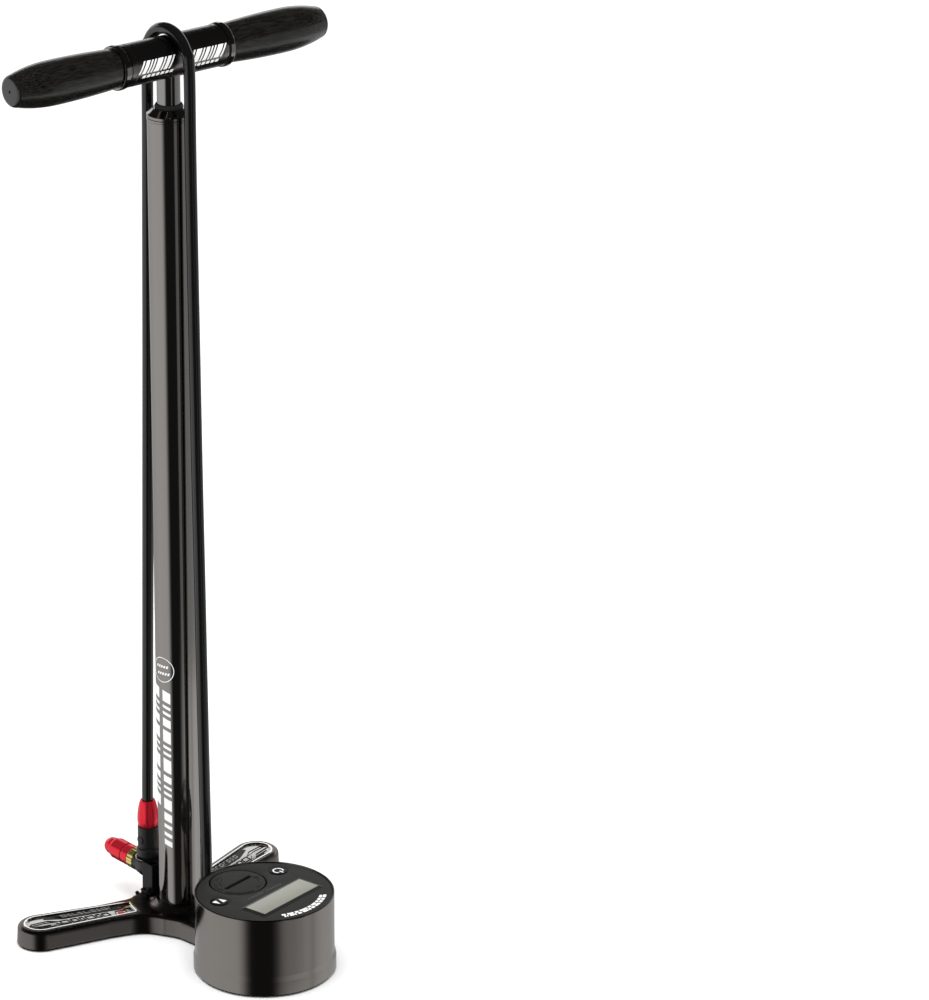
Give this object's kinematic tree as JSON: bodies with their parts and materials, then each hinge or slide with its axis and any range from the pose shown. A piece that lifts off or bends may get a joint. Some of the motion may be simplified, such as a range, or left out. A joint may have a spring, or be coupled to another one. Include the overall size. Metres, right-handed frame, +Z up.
{
  "type": "floor bike pump",
  "caption": "Upright floor pump: slim barrel on a cast foot with two swept legs, round digital gauge, wooden T-handle, hose looped over the handle to a parked valve chuck.",
  "frame": {"origin": "on the floor, under the barrel's axis, in the rest pose with the handle down", "axes": "+Z up along the barrel; +X along the handle, towards its right grip when seen from the gauge side; -Y towards the gauge, +Y towards the parked chuck"},
  "size_m": [0.261, 0.2295, 0.663],
  "materials": {
    "black_chrome": "polished dark plating over aluminium",
    "rod_chrome": "dark chrome, polished",
    "gloss_black": "gloss black anodised",
    "mirror_plate": "mirror-bright nickel with a blackened relief",
    "bare_aluminium": "machined",
    "stained_wood": "turned hardwood, black stain, satin lacquer, open grain",
    "rubber": "moulded, matt",
    "hose_rubber": "smooth glossy black hose",
    "steel": "zinc plated",
    "brass": "machined brass",
    "red_anodised": "bright red anodised",
    "black_composite": "glass-filled nylon, satin",
    "black_plastic": "moulded, matt",
    "matte_face": "soft matt black moulding",
    "button_plastic": "satin black moulding",
    "lcd_glass": "clear window",
    "lcd_panel": "grey-green reflective display",
    "circuit_board": "solder mask"
  },
  "bodies": {
    "base": {"base_casting": "black_chrome", "leg_inlay_left": "mirror_plate", "leg_inlay_right": "mirror_plate", "leg_pads": "rubber", "hub_pad": "rubber", "base_plug": "steel", "barrel": "black_chrome", "barrel_seal": "rubber", "barrel_cap": "gloss_black", "rod_bush": "steel", "rod_wiper": "rubber", "top_bumper": "rubber", "check_valve_seat": "brass", "check_valve_spring": "steel", "hose_fitting": "steel", "hose_crimp": "gloss_black", "hose": "hose_rubber", "hose_ferrule": "red_anodised", "chuck_body": "black_composite", "bleed_spring": "steel", "chuck_elbow": "black_composite", "chuck_nut": "brass", "chuck_seal": "rubber", "dock": "gloss_black", "dock_screws": "steel", "gauge_housing": "black_chrome", "gauge_bottom_plate": "black_plastic", "gauge_foot": "rubber", "gauge_screws": "steel", "gauge_face": "matte_face", "lcd_window": "lcd_glass", "lcd_panel": "lcd_panel", "gauge_pcb": "circuit_board", "button_switches": "steel", "pressure_sensor": "steel", "sensor_seal": "rubber", "sensor_tube": "brass", "battery": "steel", "battery_contact": "brass"},
    "poppet": {"check_valve_poppet": "rubber"},
    "piston": {"piston_head": "black_plastic", "piston_seal": "rubber", "piston_guide_ring": "brass"},
    "handle": {"piston_nut": "steel", "piston_rod": "rod_chrome", "handle_boss": "bare_aluminium", "handle_tube": "black_chrome", "handle_collar_left": "black_chrome", "handle_collar_right": "black_chrome", "grip_left": "stained_wood", "grip_right": "stained_wood", "grip_studs": "steel"},
    "bleed_button": {"bleed_button": "black_composite"},
    "chuck_collar": {"chuck_collar": "red_anodised"},
    "cover_seal": {"battery_cover_seal": "rubber"},
    "battery_cover": {"battery_cover": "matte_face"},
    "power_button": {"power_button": "button_plastic"},
    "unit_button": {"unit_button": "button_plastic"}
  },
  "joints": [
    {"name": "handle_stroke", "type": "slide", "parent": "base", "child": "piston", "axis": [0, 0, 1], "range_m": [0, 0.5], "deforming": ["hose"]},
    {"name": "handle_turn", "type": "hinge", "parent": "piston", "child": "handle", "pos_m": [0, 0, 0.64], "axis": [0, 0, 1], "range_deg": [-30, 30]},
    {"name": "check_valve", "type": "slide", "parent": "base", "child": "poppet", "axis": [0, 0, -1], "range_m": [0, 0.0015], "stiffness_N_per_m": 150, "deforming": ["check_valve_spring"]},
    {"name": "bleed_press", "type": "slide", "parent": "base", "child": "bleed_button", "axis": [1, 0, 0], "range_m": [0, 0.0012], "stiffness_N_per_m": 600, "deforming": ["bleed_spring"]},
    {"name": "collar_turn", "type": "hinge", "parent": "base", "child": "chuck_collar", "pos_m": [0, 0.07, 0.031], "axis": [0, 1, 0], "continuous": true},
    {"name": "battery_cover_lift", "type": "slide", "parent": "base", "child": "cover_seal", "axis": [0, 0, 1], "range_m": [0, 0.001]},
    {"name": "battery_cover_turn", "type": "hinge", "parent": "cover_seal", "child": "battery_cover", "pos_m": [-0.00499, -0.07312, 0.058], "axis": [0, 0, 1], "range_deg": [0, 90]},
    {"name": "power_press", "type": "slide", "parent": "base", "child": "power_button", "axis": [0, 0, -1], "range_m": [0, 0.0008], "stiffness_N_per_m": 500},
    {"name": "unit_press", "type": "slide", "parent": "base", "child": "unit_button", "axis": [0, 0, -1], "range_m": [0, 0.0008], "stiffness_N_per_m": 500}
  ],
  "couplings": [
    {"joint": "battery_cover_turn", "follows": "battery_cover_lift", "rad_per_m": 1570.8}
  ]
}
